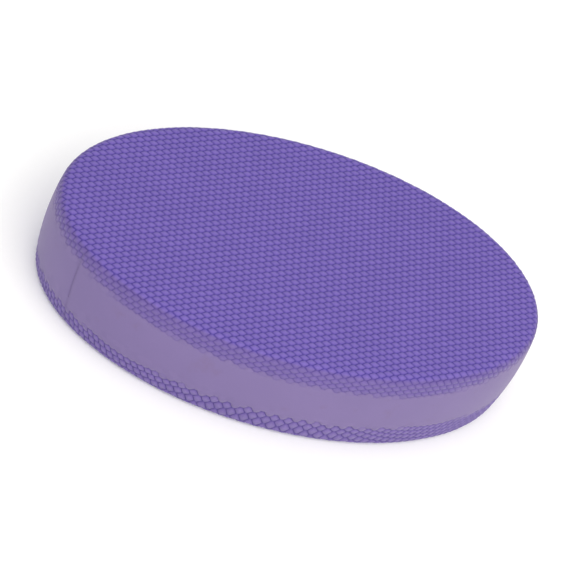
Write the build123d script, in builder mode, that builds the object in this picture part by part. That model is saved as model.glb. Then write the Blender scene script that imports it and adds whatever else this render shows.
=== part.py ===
"""Oval balance pad: a laminated foam core inside two embossed skins and a smooth side band.

The pad lies flat on its underside. +X runs along its length, +Y along its width, +Z up.
The origin is the centre of the underside. Units are millimetres.
"""
from build123d import *

import math
import os

# Whole pad
PAD_LENGTH = 310.0
PAD_WIDTH = 190.0
PAD_HEIGHT = 65.0
EDGE_RADIUS = 4.5

# Outer sheets: both skins and the side band are cut from the same foam sheet
SHEET = 3.0
TOP_RIM = 16.0
BOTTOM_RIM = 24.0

# Butt joint of the side band, near the pad's left end on the front side
SEAM_ANGLE = math.radians(-149.5)
SEAM_LEAN = 3.5
SEAM_GAP = 0.3

# Foam core, and the hot-melt film between neighbouring layers
SLAB_COUNT = 3
FILM = 0.4
CORE_EDGE_RADIUS = EDGE_RADIUS - SHEET

# How far an edge may lie from a stated height and still be picked
PICK_TOLERANCE = 0.01

# How many times longer and deeper than the side band the tool that slits it is
SLIT_LENGTHS = 2
SLIT_DEPTHS = 3

# Worked out from the dimensions above
half_length = PAD_LENGTH / 2
half_width = PAD_WIDTH / 2
band_bottom = BOTTOM_RIM
band_top = PAD_HEIGHT - TOP_RIM
band_height = band_top - band_bottom
cup_floor = SHEET
cap_roof = PAD_HEIGHT - SHEET
core_inset = SHEET + FILM
core_bottom = cup_floor + FILM
core_top = cap_roof - FILM
slab_height = (core_top - core_bottom - (SLAB_COUNT - 1) * FILM) / SLAB_COUNT
middle_bottom = core_bottom + slab_height + FILM
upper_bottom = middle_bottom + slab_height + FILM


def pad_oval(inset=0.0, mode=Mode.ADD):
    """The pad's outline, drawn in by inset, in the sketch that is open."""
    Ellipse(half_length - inset, half_width - inset, mode=mode)


def edges_at(piece, height):
    """The flat edges of a piece at one height."""
    return piece.edges().filter_by_position(Axis.Z, height - PICK_TOLERANCE, height + PICK_TOLERANCE)


def save(piece, name):
    """Label a finished piece and write its STEP file."""
    piece.part.label = name
    export_step(piece.part, f"parts/{name}.step")


os.makedirs("parts", exist_ok=True)

# Top skin: a shallow cap whose rim turns down over the rounded upper edge
with BuildPart() as top_skin:
    with BuildSketch(Plane.XY.offset(band_top)):
        pad_oval()
    extrude(amount=TOP_RIM)
    fillet(edges_at(top_skin, PAD_HEIGHT), radius=EDGE_RADIUS)
    with BuildSketch(Plane.XY.offset(band_top)):
        pad_oval(inset=SHEET)
    extrude(amount=TOP_RIM - SHEET, mode=Mode.SUBTRACT)
    fillet(edges_at(top_skin, cap_roof), radius=CORE_EDGE_RADIUS)
save(top_skin, "top_skin")

# Bottom skin: the same cap the other way up, with a taller rim
with BuildPart() as bottom_skin:
    with BuildSketch(Plane.XY):
        pad_oval()
    extrude(amount=BOTTOM_RIM)
    fillet(edges_at(bottom_skin, 0), radius=EDGE_RADIUS)
    with BuildSketch(Plane.XY.offset(cup_floor)):
        pad_oval(inset=SHEET)
    extrude(amount=BOTTOM_RIM - SHEET, mode=Mode.SUBTRACT)
    fillet(edges_at(bottom_skin, cup_floor), radius=CORE_EDGE_RADIUS)
save(bottom_skin, "bottom_skin")

# Side band: a strip bent round the wall between the two rims, with slanted ends that butt
seam_point = (
    half_length * math.cos(SEAM_ANGLE),
    half_width * math.sin(SEAM_ANGLE),
    (band_bottom + band_top) / 2,
)
seam_outward = (math.cos(SEAM_ANGLE) / half_length, math.sin(SEAM_ANGLE) / half_width, 0)
seam_plane = Plane(origin=seam_point, x_dir=(0, 0, 1), z_dir=seam_outward)
with BuildPart() as side_band:
    with BuildSketch(Plane.XY.offset(band_bottom)):
        pad_oval()
        pad_oval(inset=SHEET, mode=Mode.SUBTRACT)
    extrude(amount=band_height)
    with Locations(seam_plane.rotated((0, 0, SEAM_LEAN))):
        Box(SLIT_LENGTHS * band_height, SEAM_GAP, SLIT_DEPTHS * SHEET, mode=Mode.SUBTRACT)
save(side_band, "side_band")

# Foam core: three slabs, the outer two rounded where they meet the turned corners of the skins
with BuildPart() as lower_slab:
    with BuildSketch(Plane.XY.offset(core_bottom)):
        pad_oval(inset=core_inset)
    extrude(amount=slab_height)
    fillet(edges_at(lower_slab, core_bottom), radius=CORE_EDGE_RADIUS)
save(lower_slab, "lower_slab")

with BuildPart() as middle_slab:
    with BuildSketch(Plane.XY.offset(middle_bottom)):
        pad_oval(inset=core_inset)
    extrude(amount=slab_height)
save(middle_slab, "middle_slab")

with BuildPart() as upper_slab:
    with BuildSketch(Plane.XY.offset(upper_bottom)):
        pad_oval(inset=core_inset)
    extrude(amount=slab_height)
    fillet(edges_at(upper_slab, core_top), radius=CORE_EDGE_RADIUS)
save(upper_slab, "upper_slab")

# Hot-melt films: flat sheets between the layers, each named after what it bonds
flat_films = {
    "bottom_skin_film": (cup_floor, core_inset + CORE_EDGE_RADIUS),
    "lower_core_film": (middle_bottom - FILM, core_inset),
    "upper_core_film": (upper_bottom - FILM, core_inset),
    "top_skin_film": (core_top, core_inset + CORE_EDGE_RADIUS),
}
for film_name, (film_bottom, film_inset) in flat_films.items():
    with BuildPart() as flat_film:
        with BuildSketch(Plane.XY.offset(film_bottom)):
            pad_oval(inset=film_inset)
        extrude(amount=FILM)
    save(flat_film, film_name)

# Wall film: the sleeve that bonds the rims and the band to the core
with BuildPart() as wall_film:
    with BuildSketch(Plane.XY.offset(cup_floor + CORE_EDGE_RADIUS)):
        pad_oval(inset=SHEET)
        pad_oval(inset=core_inset, mode=Mode.SUBTRACT)
    extrude(amount=cap_roof - cup_floor - 2 * CORE_EDGE_RADIUS)
save(wall_film, "wall_film")
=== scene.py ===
import math

import bpy
import numpy as np
from mathutils import Matrix, Vector


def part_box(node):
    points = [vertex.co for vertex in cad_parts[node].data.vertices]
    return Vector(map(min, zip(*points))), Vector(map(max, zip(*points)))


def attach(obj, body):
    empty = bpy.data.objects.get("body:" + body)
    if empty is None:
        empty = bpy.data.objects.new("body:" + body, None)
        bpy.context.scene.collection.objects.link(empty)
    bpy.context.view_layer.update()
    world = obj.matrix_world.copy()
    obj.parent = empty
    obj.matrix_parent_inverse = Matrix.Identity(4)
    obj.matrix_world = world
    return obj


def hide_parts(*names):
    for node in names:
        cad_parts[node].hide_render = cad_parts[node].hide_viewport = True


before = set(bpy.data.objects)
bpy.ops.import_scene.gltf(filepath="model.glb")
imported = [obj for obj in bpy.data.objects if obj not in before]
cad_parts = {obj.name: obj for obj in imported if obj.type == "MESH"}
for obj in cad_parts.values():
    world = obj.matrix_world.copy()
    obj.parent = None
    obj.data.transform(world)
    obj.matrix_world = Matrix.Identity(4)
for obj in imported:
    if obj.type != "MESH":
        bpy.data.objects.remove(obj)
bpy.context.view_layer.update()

# The looks of an oval balance pad: two embossed foam skins over a smooth, slightly bellied side band.
# Metres, +Z up, +X along the pad. Heights and outline come from the frame, and the rest is named here.
MM = 0.001

# Wall and edges: how the soft pad departs from its plain CAD solids
EDGE_DRAW_IN = 1.2 * MM
BELLY = 2.4 * MM
FOOT_DRAW_IN = 0.95 * MM
TOP_EDGE_RADIUS = 4.5 * MM
BOTTOM_EDGE_RADIUS = 4.0 * MM

# Embossed net: rows of diamond pillows across the pad, each row half a pitch from its neighbours
ROW = 4.355 * MM
PITCH = 4.435 * MM
TOP_NET_ORIGIN = (-0.82 * MM, 0.21 * MM)
BOTTOM_NET_ORIGIN = (1.95 * MM, 1.09 * MM)
ZIGZAG = 1.2 * MM
GROOVE_DEPTH = 0.8 * MM
GROOVE_HALF_WIDTH = 0.36 * MM
SHOULDER_DEPTH_SHARE = 0.24
NECK_DEPTH_SHARE = 0.7
NECK_SHARPNESS = 3
CELL_DEPTH_SPREAD = 0.25

# Where the net's points lie along one pitch, from the middle of a pillow to the middle of the next
PITCH_STEPS = (0.0, 0.125, 0.375, 0.5, 0.625, 0.875)

# A neck lies between two pillows of one row. This step along the row, in pitches, tells them apart.
NECK_STEP = 0.01

# How far the sheet is drawn out along the wall, as new length over old. The top skin keeps one draw all
# round. The bottom skin is drawn most in the middle of both long sides, next to the rounded edge.
TOP_DRAW = 0.92
BOTTOM_DRAW = 1.1
BOTTOM_EDGE_DRAW = 1.25
MIDDLE_DRAW = 1.4
MIDDLE_EDGE_DRAW = 2.4
DRAW_SETTLES = 6.6 * MM
MIDDLE_FROM, MIDDLE_TO = 20 * MM, 85 * MM

# How far the net reaches down or up the wall, and over what height it dies away.
# The spans are shares of the half length, from the pad's middle to its end.
TOP_NET_REACH = 15.2 * MM
TOP_NET_RIGHT_RISE, TOP_NET_RIGHT_SPAN = 7.0 * MM, (0.5, 0.95)
TOP_NET_LEFT_RISE, TOP_NET_LEFT_SPAN = 4.0 * MM, (0.45, 1.0)
TOP_NET_FADE = 3.5 * MM
BOTTOM_NET_REACH = 18.2 * MM
BOTTOM_NET_TILT = 0.027
BOTTOM_NET_FADE = 2.5 * MM
NET_EDGE_SPREAD = 0.8 * MM

# How much of the emboss is left on the wall, and between which turns of the rounded edge it changes.
# The foam's colour changes to the rim's between turns of its own.
TOP_RIM_EMBOSS = 0.7
BOTTOM_RIM_EMBOSS = 1.0
EMBOSS_TURN = (math.radians(45), math.radians(90))
TOP_COLOUR_TURN = (math.radians(33), math.radians(55))
# The bottom skin keeps its darker, bluer face colours round most of its edge: painted shade where the edge
# curves under the pad
BOTTOM_COLOUR_TURN_PAINTED_SHADE = (math.radians(30), math.radians(90))

# Butt joint of the side band, carried faintly through both rims, where it flattens the emboss
SEAM_ANGLE = math.radians(-149.5)
SEAM_LEAN = math.radians(3.5)
SEAM_HALF_WIDTH = 0.8 * MM
SEAM_DEPTH = 0.14 * MM
SEAM_FLATTENS = 0.5
SEAM_COLOUR_SHARE = 0.5
SEAM_NEAR = 20 * MM

# The band's softened ends: how deep and how long, half the gap between them, and its points near each end
BAND_END_DEPTH = 1.3 * SEAM_DEPTH
BAND_END_LENGTH = 0.45 * MM
BAND_END_GAP = 0.03 * MM
BAND_END_STEPS = (0.0, 0.12 * MM, 0.3 * MM, 0.6 * MM, 1.1 * MM)

# Mesh detail: points round and up the band, steps that measure the oval, rounds that find its nearest point,
# places where the rim's length is sampled, and how near the free edge a net point is taken onto it
BAND_POINTS_ROUND, BAND_POINTS_UP = 720, 25
OVAL_STEPS = 7200
OVAL_ROUNDS = 8
RIM_SAMPLES = 101
EDGE_SNAP = 0.15 * MM

RANDOM_SEED = 7

# Foam colours under white light, as sRGB; the groove colours also carry painted shade of the recesses on top
# of the pressed lines' own darker tone
FACE_PILLOW = (108, 88, 167)
# Groove colours: partly the pressed lines' own tone, partly painted shade of the recesses
FACE_GROOVE_TONE_AND_SHADE = (50, 31, 130)
TOP_RIM_PILLOW = (104, 86, 148)
BOTTOM_RIM_PILLOW = (114, 96, 156)
RIM_GROOVE_TONE_AND_SHADE = (62, 40, 124)
BAND = (112, 96, 144)
SEAM = (84, 68, 116)
SMUDGE = (108, 88, 124)
CORE_DARK, CORE_LIGHT = (120, 104, 168), (146, 130, 190)
FILM_DARK, FILM_LIGHT = (196, 190, 206), (226, 222, 232)

# Shades that a colour is multiplied by, from darkest to lightest
CLOUD_SHADES = (0.975, 0.975, 0.98), (1.02, 1.02, 1.015)
GRAIN_SHADES = (0.95, 0.95, 0.96), (1.05, 1.05, 1.04)
TINT_SHADES = (0.96, 0.96, 0.97), (1.04, 1.04, 1.03)
FLOOR_SHADES = (0.94, 0.94, 0.94), (0.96, 0.96, 0.96)

# Sizes of what the surfaces show, and how far it stands out
CLOUD_SIZE = 38 * MM
SMUDGE_SIZE = 16 * MM
GRAIN_SIZE = 0.9 * MM
CELL_SIZE, CELL_RELIEF = 0.45 * MM, 0.05 * MM
CORE_CELL_SIZE, CORE_CELL_RELIEF = 1.6 * MM, 0.2 * MM
RIPPLE_SIZE, RIPPLE_RELIEF = 3.0 * MM, 0.1 * MM
PAPER_SIZE = 4 * MM

# The stretch of a noise's values over which its effect runs from none to full
WIDE_SPAN = (0.3, 0.7)
CLOUD_SPAN = (0.35, 0.65)
SMUDGE_SPAN = (0.58, 0.74)
SMUDGE_STRENGTH = 0.5

# Finish: roughness from the noise's low values to its high ones, gloss, and the foam's soft sheen
FOAM_ROUGHNESS = (0.55, 0.72)
FOAM_SPECULAR = 0.35
FOAM_SHEEN, FOAM_SHEEN_ROUGHNESS = 0.12, 0.5
CORE_ROUGHNESS = (0.7, 0.9)
FILM_ROUGHNESS = (0.3, 0.45)
FLOOR_ROUGHNESS = 0.9
FLOOR_SPECULAR = 0.1

# Stage and light: a wide floor, an even sky, and one large soft lamp in front of the pad
FLOOR_HALF_SIDE = 6.0
SKY_STRENGTH = 0.98
KEY_DIRECTION = (0.3, -0.94, 1.0)
KEY_DISTANCE = 1.6
KEY_SIDE = 1.8
KEY_POWER = 17.4
KEY_COLOUR = (1.0, 0.97, 0.88)

# Camera: where it stands round the pad's middle, and how far the pad sits off the middle of its view
CAMERA_AZIMUTH = math.radians(-16.561)
CAMERA_ELEVATION = math.radians(44.606)
CAMERA_ROLL = math.radians(26.693)
CAMERA_DISTANCE = 1.6379
CAMERA_LENS = 166.994
CAMERA_SENSOR = 36.0
CAMERA_NEAR, CAMERA_FAR = 0.05, 50
CAMERA_SLIDE_RIGHT = -1.081 * MM
CAMERA_SLIDE_UP = -1.734 * MM


# ---------------------------------------------------------------- the pad's form

top_low, top_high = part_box("top_skin")
bottom_low, bottom_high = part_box("bottom_skin")
film_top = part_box("top_skin_film")[1].z
half_length = (top_high.x - top_low.x) / 2 - EDGE_DRAW_IN
half_width = (top_high.y - top_low.y) / 2 - EDGE_DRAW_IN
pad_foot, pad_top = bottom_low.z, top_high.z
sheet = pad_top - film_top
top_rim_edge = top_low.z
bottom_rim_edge = bottom_high.z
band_middle = (top_rim_edge + bottom_rim_edge) / 2


def oval_point(cosine, sine):
    """The oval's point at an angle's cosine and sine, and the outward normal there."""
    normal_x, normal_y = cosine / half_length, sine / half_width
    size = np.hypot(normal_x, normal_y)
    return half_length * cosine, half_width * sine, normal_x / size, normal_y / size


def closest_on_oval(x, y):
    """The nearest point of the oval to each point, the outward normal there, and the distance beyond it."""
    px, py = np.abs(x), np.abs(y)
    focus = half_length**2 - half_width**2
    tx = np.full_like(px, math.sqrt(0.5))
    ty = tx.copy()
    for _ in range(OVAL_ROUNDS):
        ex = focus * tx**3 / half_length
        ey = -focus * ty**3 / half_width
        reach = np.hypot(half_length * tx - ex, half_width * ty - ey)
        gap = np.maximum(np.hypot(px - ex, py - ey), 1e-12)
        tx = np.clip(((px - ex) * reach / gap + ex) / half_length, 0, 1)
        ty = np.clip(((py - ey) * reach / gap + ey) / half_width, 0, 1)
        size = np.hypot(tx, ty)
        tx, ty = tx / size, ty / size
    foot_x, foot_y, normal_x, normal_y = oval_point(np.copysign(tx, x), np.copysign(ty, y))
    beyond = (x - foot_x) * normal_x + (y - foot_y) * normal_y
    return foot_x, foot_y, normal_x, normal_y, beyond


def wall_stand(z):
    """How far the wall stands out from the oval at a height: bellied in the middle, drawn in at the foot."""
    share = z / pad_top
    return BELLY * 4 * share * (1 - share) - FOOT_DRAW_IN * (1 - share)


def smoothstep(low, high, value):
    """0 below low, 1 above high, and smooth between."""
    share = np.clip((value - low) / (high - low), 0, 1)
    return share * share * (3 - 2 * share)


def seam_share(x, y, z):
    """1 on the line of the side band's butt joint, 0 away from it."""
    start_x, start_y = half_length * math.cos(SEAM_ANGLE), half_width * math.sin(SEAM_ANGLE)
    along = Vector((-half_length * math.sin(SEAM_ANGLE), half_width * math.cos(SEAM_ANGLE))).normalized()
    offset = (x - start_x) * along.x + (y - start_y) * along.y + (z - band_middle) * math.tan(SEAM_LEAN)
    near = (x - start_x) ** 2 + (y - start_y) ** 2 < SEAM_NEAR**2
    return np.where(near, np.exp(-((offset / SEAM_HALF_WIDTH) ** 2)), 0.0)


# ---------------------------------------------------------------- meshes


def new_piece(name, points, faces, attributes, material, corner=()):
    """A smooth-shaded mesh object, with one float per point for each named attribute.

    Edges between points listed in corner stay sharp."""
    mesh = bpy.data.meshes.new(name)
    mesh.from_pydata([tuple(p) for p in points], [], faces)
    mesh.validate()
    mesh.shade_smooth()
    for attribute, values in attributes.items():
        layer = mesh.attributes.new(attribute, "FLOAT", "POINT")
        layer.data.foreach_set("value", np.asarray(values, np.float32))
    ends = np.empty(2 * len(mesh.edges), np.int32)
    mesh.edges.foreach_get("vertices", ends)
    sharp = mesh.attributes.new("sharp_edge", "BOOLEAN", "EDGE")
    sharp.data.foreach_set("value", np.isin(ends, corner).reshape(-1, 2).all(axis=1))
    mesh.materials.append(material)
    piece = bpy.data.objects.new(name, mesh)
    bpy.context.scene.collection.objects.link(piece)
    return piece


def grid_quads(index):
    """The four-sided faces of a grid of points, as one row of four point numbers each."""
    return np.stack([index[:-1, :-1], index[1:, :-1], index[1:, 1:], index[:-1, 1:]], axis=-1).reshape(-1, 4)


def net(origin, reach_x, reach_y):
    """The net's points in the flat sheet, as a grid of zigzag lines along y by columns.

    Returns x, y, the share of the groove's depth at each point, the rows of pillows on both sides of each
    line, and how many pitches from the origin each column lies."""
    rows = math.ceil(reach_x / ROW) + 1
    pitches = math.ceil(reach_y / PITCH) + 1
    column = (np.arange(-pitches, pitches + 1)[:, None] + np.array(PITCH_STEPS)).ravel()
    y = origin[1] + column * PITCH
    wave = 4 * np.abs((column % 1) - 0.5) - 1
    shoulder = GROOVE_HALF_WIDTH * math.hypot(1, 4 * ZIGZAG / PITCH)

    def groove(row):
        return origin[0] + (row + 0.5) * ROW + ZIGZAG * (-1) ** row * wave

    lines, depths, sides = [], [], []
    for row in range(-rows, rows + 1):
        neck = NECK_DEPTH_SHARE * ((1 - (-1) ** row * wave) / 2) ** NECK_SHARPNESS
        inner, outer = groove(row - 1), groove(row)
        lines += [inner, inner + shoulder, (inner + outer) / 2, outer - shoulder]
        flank = SHOULDER_DEPTH_SHARE + neck * (1 - SHOULDER_DEPTH_SHARE)
        depths += [np.ones_like(y), flank, neck, flank]
        sides += [(row - 1, row)] + [(row, row)] * 3
    x, depths, sides = np.array(lines), np.array(depths), np.array(sides)
    return x, np.broadcast_to(y, x.shape), depths, sides, column


def top_net_reach(x):
    """How far the top skin's net comes down the wall: less far near both ends, least at the right."""
    share = x / half_length
    right_rise = TOP_NET_RIGHT_RISE * smoothstep(*TOP_NET_RIGHT_SPAN, share)
    left_rise = TOP_NET_LEFT_RISE * smoothstep(*TOP_NET_LEFT_SPAN, -share)
    return TOP_NET_REACH - right_rise - left_rise


def bottom_net_reach(x):
    """How far the bottom skin's net comes up the wall: higher towards the right end."""
    return BOTTOM_NET_REACH + BOTTOM_NET_TILT * x


def top_draw(x):
    """The top skin's draw next to the rounded edge, and where it has settled, at a place along the pad."""
    even = np.full_like(x, TOP_DRAW)
    return even, even


def bottom_draw(x):
    """The bottom skin's draw next to the rounded edge, and where it has settled, at a place along the pad."""
    middle = 1 - smoothstep(MIDDLE_FROM, MIDDLE_TO, np.abs(x))
    edge_draw = BOTTOM_EDGE_DRAW + (MIDDLE_EDGE_DRAW - BOTTOM_EDGE_DRAW) * middle
    return edge_draw, BOTTOM_DRAW + (MIDDLE_DRAW - BOTTOM_DRAW) * middle


class Fold:
    """How one skin's sheet leaves its flat face, turns the edge and runs along the wall to its free edge."""

    def __init__(self, face_z, rim_z, radius, draw):
        self.face_z, self.rim_z, self.radius, self.draw = face_z, rim_z, radius, draw
        self.away = math.copysign(1, rim_z - face_z)
        self.height = abs(rim_z - face_z)
        self.flat_edge = wall_stand(face_z) - radius
        self.turned_length = radius * math.pi / 2

    def rim_length(self, x):
        """The length of sheet from the flat face's edge to the free edge, at a place along the pad."""
        edge_draw, settled_draw = self.draw(x)
        wall = self.height - self.radius
        return self.turned_length + (wall - (edge_draw - settled_draw) * DRAW_SETTLES / 2) / settled_draw

    def turned(self, distance):
        """How far the sheet has turned, at a length of sheet beyond the flat face's edge."""
        return np.clip(distance / self.radius, 0, math.pi / 2)

    def fallen(self, x, distance):
        """How far along Z the sheet lies from the flat face, at a length of sheet beyond the face's edge."""
        edge_draw, settled_draw = self.draw(x)
        length = np.maximum(distance - self.turned_length, 0)
        settling = np.minimum(length, DRAW_SETTLES)
        settling = settling * (1 - settling / (2 * DRAW_SETTLES))
        rounded = self.radius * (1 - np.cos(self.turned(distance)))
        return rounded + settled_draw * length + (edge_draw - settled_draw) * settling


def pillow_shares(fold, origin, net_reach, net_fade, sides, column):
    """How much of its pillows' relief each point of the net has, and the tint of its pillow.

    Whole pillows die away one by one where the net ends on the wall."""
    first_row, first_number = sides.min(), math.floor(column[0]) - 1
    rows = np.arange(first_row, sides.max() + 1)
    numbers = np.arange(first_number, math.ceil(column[-1]) + 2)
    random = np.random.default_rng(RANDOM_SEED).random((2, len(rows), len(numbers)))
    row, number = np.meshgrid(rows, numbers, indexing="ij")
    middle_x, middle_y = origin[0] + row * ROW, origin[1] + (number + row % 2 / 2) * PITCH
    foot_x, *_, beyond = closest_on_oval(middle_x, middle_y)
    fallen = fold.fallen(foot_x, beyond - fold.flat_edge)
    left = net_reach(foot_x) + NET_EDGE_SPREAD * (random[0] - 0.5) - fallen
    share = smoothstep(0, net_fade, left)

    def beside(side, step):
        """The pillow beside each point, as an index into share."""
        line_row = sides[:, side, None]
        return line_row - first_row, np.round(column - line_row % 2 / 2 + step).astype(int) - first_number

    neighbours = [beside(side, step) for side in (0, 1) for step in (-NECK_STEP, NECK_STEP)]
    return np.max([share[pillow] for pillow in neighbours], axis=0), random[1][beside(1, NECK_STEP)]


def trim(past, *numbers):
    """The part of a grid where past is 0 or less, cut off exactly where past is 0.

    Returns its faces, and each of the grid's numbers at its points."""
    corners = grid_quads(np.arange(past.size).reshape(past.shape))
    past = past.ravel()
    inside, on_line = past <= 0, past == 0
    numbers = [list(number.ravel()) for number in numbers]
    cuts = {}

    def cut(a, b):
        """The point where the line crosses grid edge a-b, made once and shared by both faces."""
        if (a, b) not in cuts:
            share = past[a] / (past[a] - past[b])
            cuts[a, b] = len(numbers[0])
            for number in numbers:
                number.append(number[a] + (number[b] - number[a]) * share)
        return cuts[a, b]

    kept = inside[corners]
    faces = corners[kept.all(axis=1)].tolist()
    for quad in corners[kept.any(axis=1) & ~kept.all(axis=1)]:
        polygon = []
        for a, b in zip(quad, np.roll(quad, -1)):
            if inside[a]:
                polygon.append(int(a))
            if inside[a] != inside[b] and not on_line[a] and not on_line[b]:
                polygon.append(cut(min(a, b), max(a, b)))
        if len(polygon) > 2:
            faces.append(polygon)

    used = np.unique(np.concatenate(faces, axis=None))
    new_index = np.full(len(numbers[0]), -1)
    new_index[used] = np.arange(len(used))
    faces = [[int(new_index[point]) for point in face] for face in faces]
    return faces, *(np.array(number)[used] for number in numbers)


def rim_loop(faces):
    """The points along the free edge of an open mesh, in order."""
    edges = {(a, b) for face in faces for a, b in zip(face, face[1:] + face[:1])}
    after = {a: b for a, b in edges if (b, a) not in edges}
    loop = [next(iter(after))]
    while after[loop[-1]] != loop[0]:
        loop.append(after[loop[-1]])
    return loop


def close_inside(fold, faces, n_points, loop, foot, normal):
    """Closes a skin inside by the sheet's thickness: under its free edge, up the wall and over its face.

    Adds the faces, and returns the new points."""
    inner_z = fold.face_z + fold.away * sheet
    corner = fold.radius - sheet
    previous, rings = loop, []
    for ring_z, ring_in in ((fold.rim_z, 0.0), (inner_z + fold.away * corner, 0.0), (inner_z, corner)):
        ring = foot + normal * (wall_stand(ring_z) - sheet - ring_in)
        first = n_points + len(rings) * len(loop)
        current = list(range(first, first + len(loop)))
        for i in range(len(loop)):
            j = (i + 1) % len(loop)
            faces.append([previous[j], previous[i], current[i], current[j]])
        rings.append(np.column_stack([ring, np.full(len(loop), ring_z)]))
        previous = current
    faces.append(previous[::-1])
    return np.concatenate(rings)


def skin(name, fold, origin, net_reach, net_fade, rim_emboss, colour_turn, material):
    """One embossed skin: a flat face, an edge turned through a radius, and a rim drawn out along the wall."""
    places = np.linspace(-half_length, half_length, RIM_SAMPLES)
    reach = fold.flat_edge + fold.rim_length(places).max() + ROW
    x, y, groove, sides, column = net(origin, half_length + reach, half_width + reach)
    lace, tint = pillow_shares(fold, origin, net_reach, net_fade, sides, column)
    foot_x, *_, beyond = closest_on_oval(x, y)
    past = beyond - fold.flat_edge - fold.rim_length(foot_x)
    past = np.where(np.abs(past) < EDGE_SNAP, 0.0, past)
    faces, x, y, groove, lace, tint = trim(past, x, y, groove, lace, tint)

    # Fold the sheet over the pad
    loop = rim_loop(faces)
    on_rim = np.zeros(len(x), bool)
    on_rim[loop] = True
    foot_x, foot_y, normal_x, normal_y, beyond = closest_on_oval(x, y)
    whole = fold.rim_length(foot_x)
    distance = np.where(on_rim, whole, np.minimum(beyond - fold.flat_edge, whole))
    turned = fold.turned(distance)
    z = fold.face_z + fold.away * np.where(on_rim, fold.height, fold.fallen(foot_x, distance))
    out = wall_stand(z) - fold.radius * (1 - np.sin(turned))
    flat = distance <= 0
    x = np.where(flat, x, foot_x + normal_x * out)
    y = np.where(flat, y, foot_y + normal_y * out)

    # Press in the grooves and the seam, square to the sheet
    emboss = 1 + (rim_emboss - 1) * smoothstep(*EMBOSS_TURN, turned)
    seam = seam_share(x, y, z) * smoothstep(0, math.pi / 2, turned)
    depth = GROOVE_DEPTH * (1 + CELL_DEPTH_SPREAD * (tint - 0.5)) * groove * lace * emboss
    depth = depth * (1 - SEAM_FLATTENS * seam) + SEAM_DEPTH * seam
    depth = np.where(on_rim, 0.0, depth)
    level, upright = np.sin(turned), np.cos(turned)
    points = np.column_stack(
        [
            x - normal_x * level * depth,
            y - normal_y * level * depth,
            z + fold.away * upright * depth,
        ]
    )

    foot, normal = np.column_stack([foot_x, foot_y])[loop], np.column_stack([normal_x, normal_y])[loop]
    inner_points = close_inside(fold, faces, len(points), loop, foot, normal)
    hidden = np.zeros(len(inner_points))
    attributes = {
        # groove: where the material darkens the grooves, with their own tone and painted shade of the
        # recesses
        "groove": np.append(groove * lace * emboss, hidden),
        "lace": np.append(lace, hidden),
        "tint": np.append(tint, hidden),
        "rim": np.append(smoothstep(*colour_turn, turned), hidden + 1),
        "seam": np.append(seam, hidden),
    }
    if fold.away < 0:
        faces = [face[::-1] for face in faces]
    return new_piece(name, np.concatenate([points, inner_points]), faces, attributes, material, loop)


def band(name, material):
    """The side band: a bellied strip bent round the wall. Its slanted, softened ends butt at the seam."""
    angles = np.linspace(0, 2 * math.pi, OVAL_STEPS + 1)
    oval_x, oval_y, *_ = oval_point(np.cos(angles), np.sin(angles))
    lengths = np.append(0, np.cumsum(np.hypot(np.diff(oval_x), np.diff(oval_y))))
    start = np.interp(SEAM_ANGLE % (2 * math.pi), angles, lengths)
    band_length = lengths[-1] - 2 * BAND_END_GAP

    ends = np.array(BAND_END_STEPS)
    middle = np.linspace(ends[-1], band_length - ends[-1], BAND_POINTS_ROUND)
    along = np.concatenate([ends[:-1], middle, band_length - ends[-2::-1]])
    heights = np.linspace(bottom_rim_edge, top_rim_edge, BAND_POINTS_UP)
    s, z = np.meshgrid(along, heights, indexing="ij")
    from_end = np.minimum(s, band_length - s)
    rounding = BAND_END_DEPTH * np.exp(-((from_end / BAND_END_LENGTH) ** 2))
    position = (start + BAND_END_GAP + s - (z - band_middle) * math.tan(SEAM_LEAN)) % lengths[-1]
    angle = np.interp(position, lengths, angles)
    x, y, normal_x, normal_y = oval_point(np.cos(angle), np.sin(angle))
    layers = []
    for inward in (rounding, sheet):
        out = wall_stand(z) - inward
        layers.append(np.stack([x + normal_x * out, y + normal_y * out, z], axis=-1).reshape(-1, 3))

    index = np.arange(2 * s.size).reshape(2, *s.shape)
    outer, inner = index

    def strip(a, b):
        return np.stack([a[:-1], a[1:], b[1:], b[:-1]], axis=-1).tolist()

    faces = grid_quads(outer).tolist() + grid_quads(inner)[:, ::-1].tolist()
    faces += strip(inner[:, 0], outer[:, 0]) + strip(outer[:, -1], inner[:, -1])
    faces += strip(outer[0], inner[0]) + strip(inner[-1], outer[-1])
    seam = np.exp(-((from_end / SEAM_HALF_WIDTH) ** 2)).ravel()
    corner = np.concatenate([index[:, :, 0].ravel(), index[:, :, -1].ravel()])
    return new_piece(name, np.concatenate(layers), faces, {"seam": np.append(seam, seam)}, material, corner)


# ---------------------------------------------------------------- materials


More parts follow.
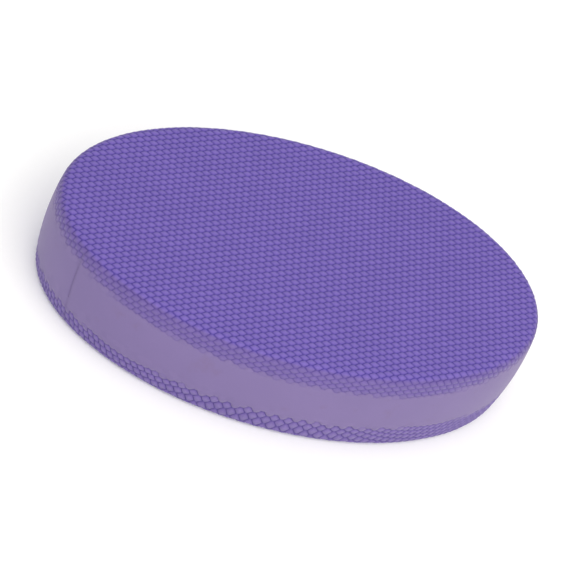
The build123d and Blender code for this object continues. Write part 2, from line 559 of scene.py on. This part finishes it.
class Nodes:
    """A short way to build a material's node tree."""

    def __init__(self, name):
        self.material = bpy.data.materials.new(name)
        self.material.use_nodes = True
        self.tree = self.material.node_tree
        self.shader = self.tree.nodes["Principled BSDF"]

    def add(self, kind, **settings):
        node = self.tree.nodes.new(kind)
        for key, value in settings.items():
            setattr(node, key, value)
        return node

    def feed(self, socket, value):
        """Links a socket to a node's output, or sets it to a number or an RGB colour."""
        if isinstance(value, bpy.types.NodeSocket):
            self.tree.links.new(value, socket)
        elif isinstance(value, tuple):
            socket.default_value = (*value, 1.0)
        else:
            socket.default_value = value

    def set(self, **inputs):
        """Feeds the shader's inputs, named with _ for each space."""
        for name, value in inputs.items():
            self.feed(self.shader.inputs[name.replace("_", " ")], value)

    def attribute(self, name):
        return self.add("ShaderNodeAttribute", attribute_name=name).outputs["Fac"]

    def noise(self, size, detail, roughness=0.55):
        """Smooth noise with features of about that size, in the row frame."""
        place = self.add("ShaderNodeTexCoord")
        noise = self.add("ShaderNodeTexNoise")
        self.feed(noise.inputs["Vector"], place.outputs["Object"])
        self.feed(noise.inputs["Scale"], 1 / size)
        self.feed(noise.inputs["Detail"], detail)
        self.feed(noise.inputs["Roughness"], roughness)
        return noise.outputs["Fac"]

    def range(self, value, span, to=(0.0, 1.0)):
        """The value, run from one stretch of numbers to another and held at its ends."""
        node = self.add("ShaderNodeMapRange")
        for socket, number in zip(node.inputs, (value, *span, *to)):
            self.feed(socket, number)
        return node.outputs[0]

    def mix(self, share, first, second, blend="MIX"):
        """A colour mix. first and second are colours or sockets."""
        node = self.add("ShaderNodeMix", data_type="RGBA", blend_type=blend)
        for socket, value in ((node.inputs[0], share), (node.inputs[6], first), (node.inputs[7], second)):
            self.feed(socket, value)
        return node.outputs[2]

    def shade(self, colour, share, shades):
        """The colour multiplied by a shade between two."""
        return self.mix(1.0, colour, self.mix(share, *shades), "MULTIPLY")

    def bump(self, height, distance):
        node = self.add("ShaderNodeBump")
        self.feed(node.inputs["Distance"], distance)
        self.feed(node.inputs["Height"], height)
        self.set(Normal=node.outputs["Normal"])


def linear(colour):
    """An sRGB colour, from 0 to 255, in the linear light that shaders use."""
    shares = [channel / 255 for channel in colour]
    return tuple(v / 12.92 if v < 0.04045 else ((v + 0.055) / 1.055) ** 2.4 for v in shares)


def seamed(nodes, colour):
    """The colour, with the seam's line through it."""
    seam = nodes.range(nodes.attribute("seam"), (0.0, 1.0), (0.0, SEAM_COLOUR_SHARE))
    return nodes.mix(seam, colour, linear(SEAM))


def foam_finish(nodes, colour):
    """What every foam piece shares: closed cells, clouding, and a soft, dry surface."""
    cloud = nodes.noise(CLOUD_SIZE, 2.0)
    grain = nodes.noise(GRAIN_SIZE, 4.0, 0.6)
    colour = nodes.shade(colour, nodes.range(cloud, CLOUD_SPAN), CLOUD_SHADES)
    colour = nodes.shade(colour, nodes.range(grain, WIDE_SPAN), GRAIN_SHADES)
    nodes.set(Base_Color=colour, Roughness=nodes.range(grain, WIDE_SPAN, FOAM_ROUGHNESS))
    nodes.set(Specular_IOR_Level=FOAM_SPECULAR, Sheen_Weight=FOAM_SHEEN, Sheen_Roughness=FOAM_SHEEN_ROUGHNESS)
    nodes.bump(nodes.noise(CELL_SIZE, 3.0, 0.6), CELL_RELIEF)


def skin_material(name, rim_pillow):
    """Embossed foam: violet on the flat face, greyer on the rim, darkest in the grooves, where the pressed
    lines' own darker tone carries painted shade of the recesses.
    """
    nodes = Nodes(name)
    groove = nodes.attribute("groove")
    # The groove colours are partly the pressed lines' own tone and partly painted shade of the recesses
    face = nodes.mix(groove, linear(FACE_PILLOW), linear(FACE_GROOVE_TONE_AND_SHADE))
    rim = nodes.mix(groove, linear(rim_pillow), linear(RIM_GROOVE_TONE_AND_SHADE))
    rim = nodes.mix(nodes.attribute("lace"), linear(BAND), rim)
    colour = nodes.mix(nodes.attribute("rim"), face, rim)
    colour = nodes.shade(colour, nodes.attribute("tint"), TINT_SHADES)
    foam_finish(nodes, seamed(nodes, colour))
    return nodes.material


def band_material():
    """Smooth foam, darker along the butt joint, with a few faint brownish smudges from handling."""
    nodes = Nodes("band_foam")
    smudge = nodes.range(nodes.noise(SMUDGE_SIZE, 4.0, 0.6), SMUDGE_SPAN, (0.0, SMUDGE_STRENGTH))
    foam_finish(nodes, nodes.mix(smudge, seamed(nodes, linear(BAND)), linear(SMUDGE)))
    return nodes.material


def core_material():
    """The slabs' cut foam: plain violet, with open cells."""
    nodes = Nodes("core_foam")
    cells = nodes.noise(CORE_CELL_SIZE, 5.0, 0.7)
    colour = nodes.mix(nodes.range(cells, WIDE_SPAN), linear(CORE_DARK), linear(CORE_LIGHT))
    nodes.set(Base_Color=colour, Roughness=nodes.range(cells, WIDE_SPAN, CORE_ROUGHNESS))
    nodes.bump(cells, CORE_CELL_RELIEF)
    return nodes.material


def film_material():
    """Hot-melt film: milky, a little glossy, with a pressed ripple."""
    nodes = Nodes("bond_film")
    ripple = nodes.noise(RIPPLE_SIZE, 2.0)
    colour = nodes.mix(ripple, linear(FILM_DARK), linear(FILM_LIGHT))
    nodes.set(Base_Color=colour, Roughness=nodes.range(ripple, WIDE_SPAN, FILM_ROUGHNESS))
    nodes.bump(ripple, RIPPLE_RELIEF)
    return nodes.material


def floor_material():
    """Plain pale paper."""
    nodes = Nodes("pale_floor")
    nodes.set(Base_Color=nodes.mix(nodes.noise(PAPER_SIZE, 3.0), *FLOOR_SHADES))
    nodes.set(Roughness=FLOOR_ROUGHNESS, Specular_IOR_Level=FLOOR_SPECULAR)
    return nodes.material


# ---------------------------------------------------------------- pieces

top_skin = skin(
    "top_skin_embossed",
    Fold(pad_top, top_rim_edge, TOP_EDGE_RADIUS, top_draw),
    TOP_NET_ORIGIN,
    top_net_reach,
    TOP_NET_FADE,
    TOP_RIM_EMBOSS,
    TOP_COLOUR_TURN,
    skin_material("top_skin_foam", TOP_RIM_PILLOW),
)
bottom_skin = skin(
    "bottom_skin_embossed",
    Fold(pad_foot, bottom_rim_edge, BOTTOM_EDGE_RADIUS, bottom_draw),
    BOTTOM_NET_ORIGIN,
    bottom_net_reach,
    BOTTOM_NET_FADE,
    BOTTOM_RIM_EMBOSS,
    # The bottom's late colour turn is painted shade on the edge that curves under the pad
    BOTTOM_COLOUR_TURN_PAINTED_SHADE,
    skin_material("bottom_skin_foam", BOTTOM_RIM_PILLOW),
)
side_band = band("side_band_foam", band_material())

for piece, node, slot in (
    (top_skin, "top_skin", "skin_foam"),
    (bottom_skin, "bottom_skin", "skin_foam"),
    (side_band, "side_band", "band_foam"),
):
    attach(piece, "root")
    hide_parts(node)

inner_materials = {"_slab": core_material(), "_film": film_material()}
for name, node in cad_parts.items():
    for ending, material in inner_materials.items():
        if name.endswith(ending):
            for slot in node.material_slots:
                slot.material = material


# ---------------------------------------------------------------- stage, light and camera


def floor():
    side = FLOOR_HALF_SIDE
    corners = [(-side, -side, 0), (side, -side, 0), (side, side, 0), (-side, side, 0)]
    new_piece("floor", corners, [[0, 1, 2, 3]], {}, floor_material())


def sky():
    world = bpy.data.worlds.new("studio")
    world.use_nodes = True
    background = world.node_tree.nodes["Background"]
    background.inputs["Color"].default_value = (1, 1, 1, 1)
    background.inputs["Strength"].default_value = SKY_STRENGTH
    bpy.context.scene.world = world


def key_light():
    """A square soft lamp, aimed at the middle of the pad's underside."""
    lamp = bpy.data.lights.new("key", "AREA")
    lamp.size = KEY_SIDE
    lamp.energy = KEY_POWER
    lamp.color = KEY_COLOUR
    light = bpy.data.objects.new("key", lamp)
    back = Vector(KEY_DIRECTION).normalized()
    light.location = back * KEY_DISTANCE
    light.rotation_mode = "QUATERNION"
    light.rotation_quaternion = back.to_track_quat("Z", "Y")
    bpy.context.scene.collection.objects.link(light)


def camera():
    level = Vector((math.cos(CAMERA_AZIMUTH), math.sin(CAMERA_AZIMUTH), 0))
    backwards = Vector((math.sin(CAMERA_AZIMUTH), -math.cos(CAMERA_AZIMUTH), 0))
    back = backwards * math.cos(CAMERA_ELEVATION) + Vector((0, 0, math.sin(CAMERA_ELEVATION)))
    upright = back.cross(level)
    right = math.cos(CAMERA_ROLL) * level + math.sin(CAMERA_ROLL) * upright
    up = back.cross(right)
    lens = bpy.data.cameras.new("camera")
    lens.lens = CAMERA_LENS
    lens.sensor_width = CAMERA_SENSOR
    lens.clip_start = CAMERA_NEAR
    lens.clip_end = CAMERA_FAR
    made = bpy.data.objects.new("camera", lens)
    pad_middle = Vector((0, 0, pad_top / 2))
    place = pad_middle + back * CAMERA_DISTANCE + right * CAMERA_SLIDE_RIGHT + up * CAMERA_SLIDE_UP
    made.matrix_world = Matrix.Translation(place) @ Matrix((right, up, back)).transposed().to_4x4()
    bpy.context.scene.collection.objects.link(made)
    bpy.context.scene.camera = made


floor()
sky()
key_light()
camera()
bpy.context.scene.view_settings.view_transform = "Standard"
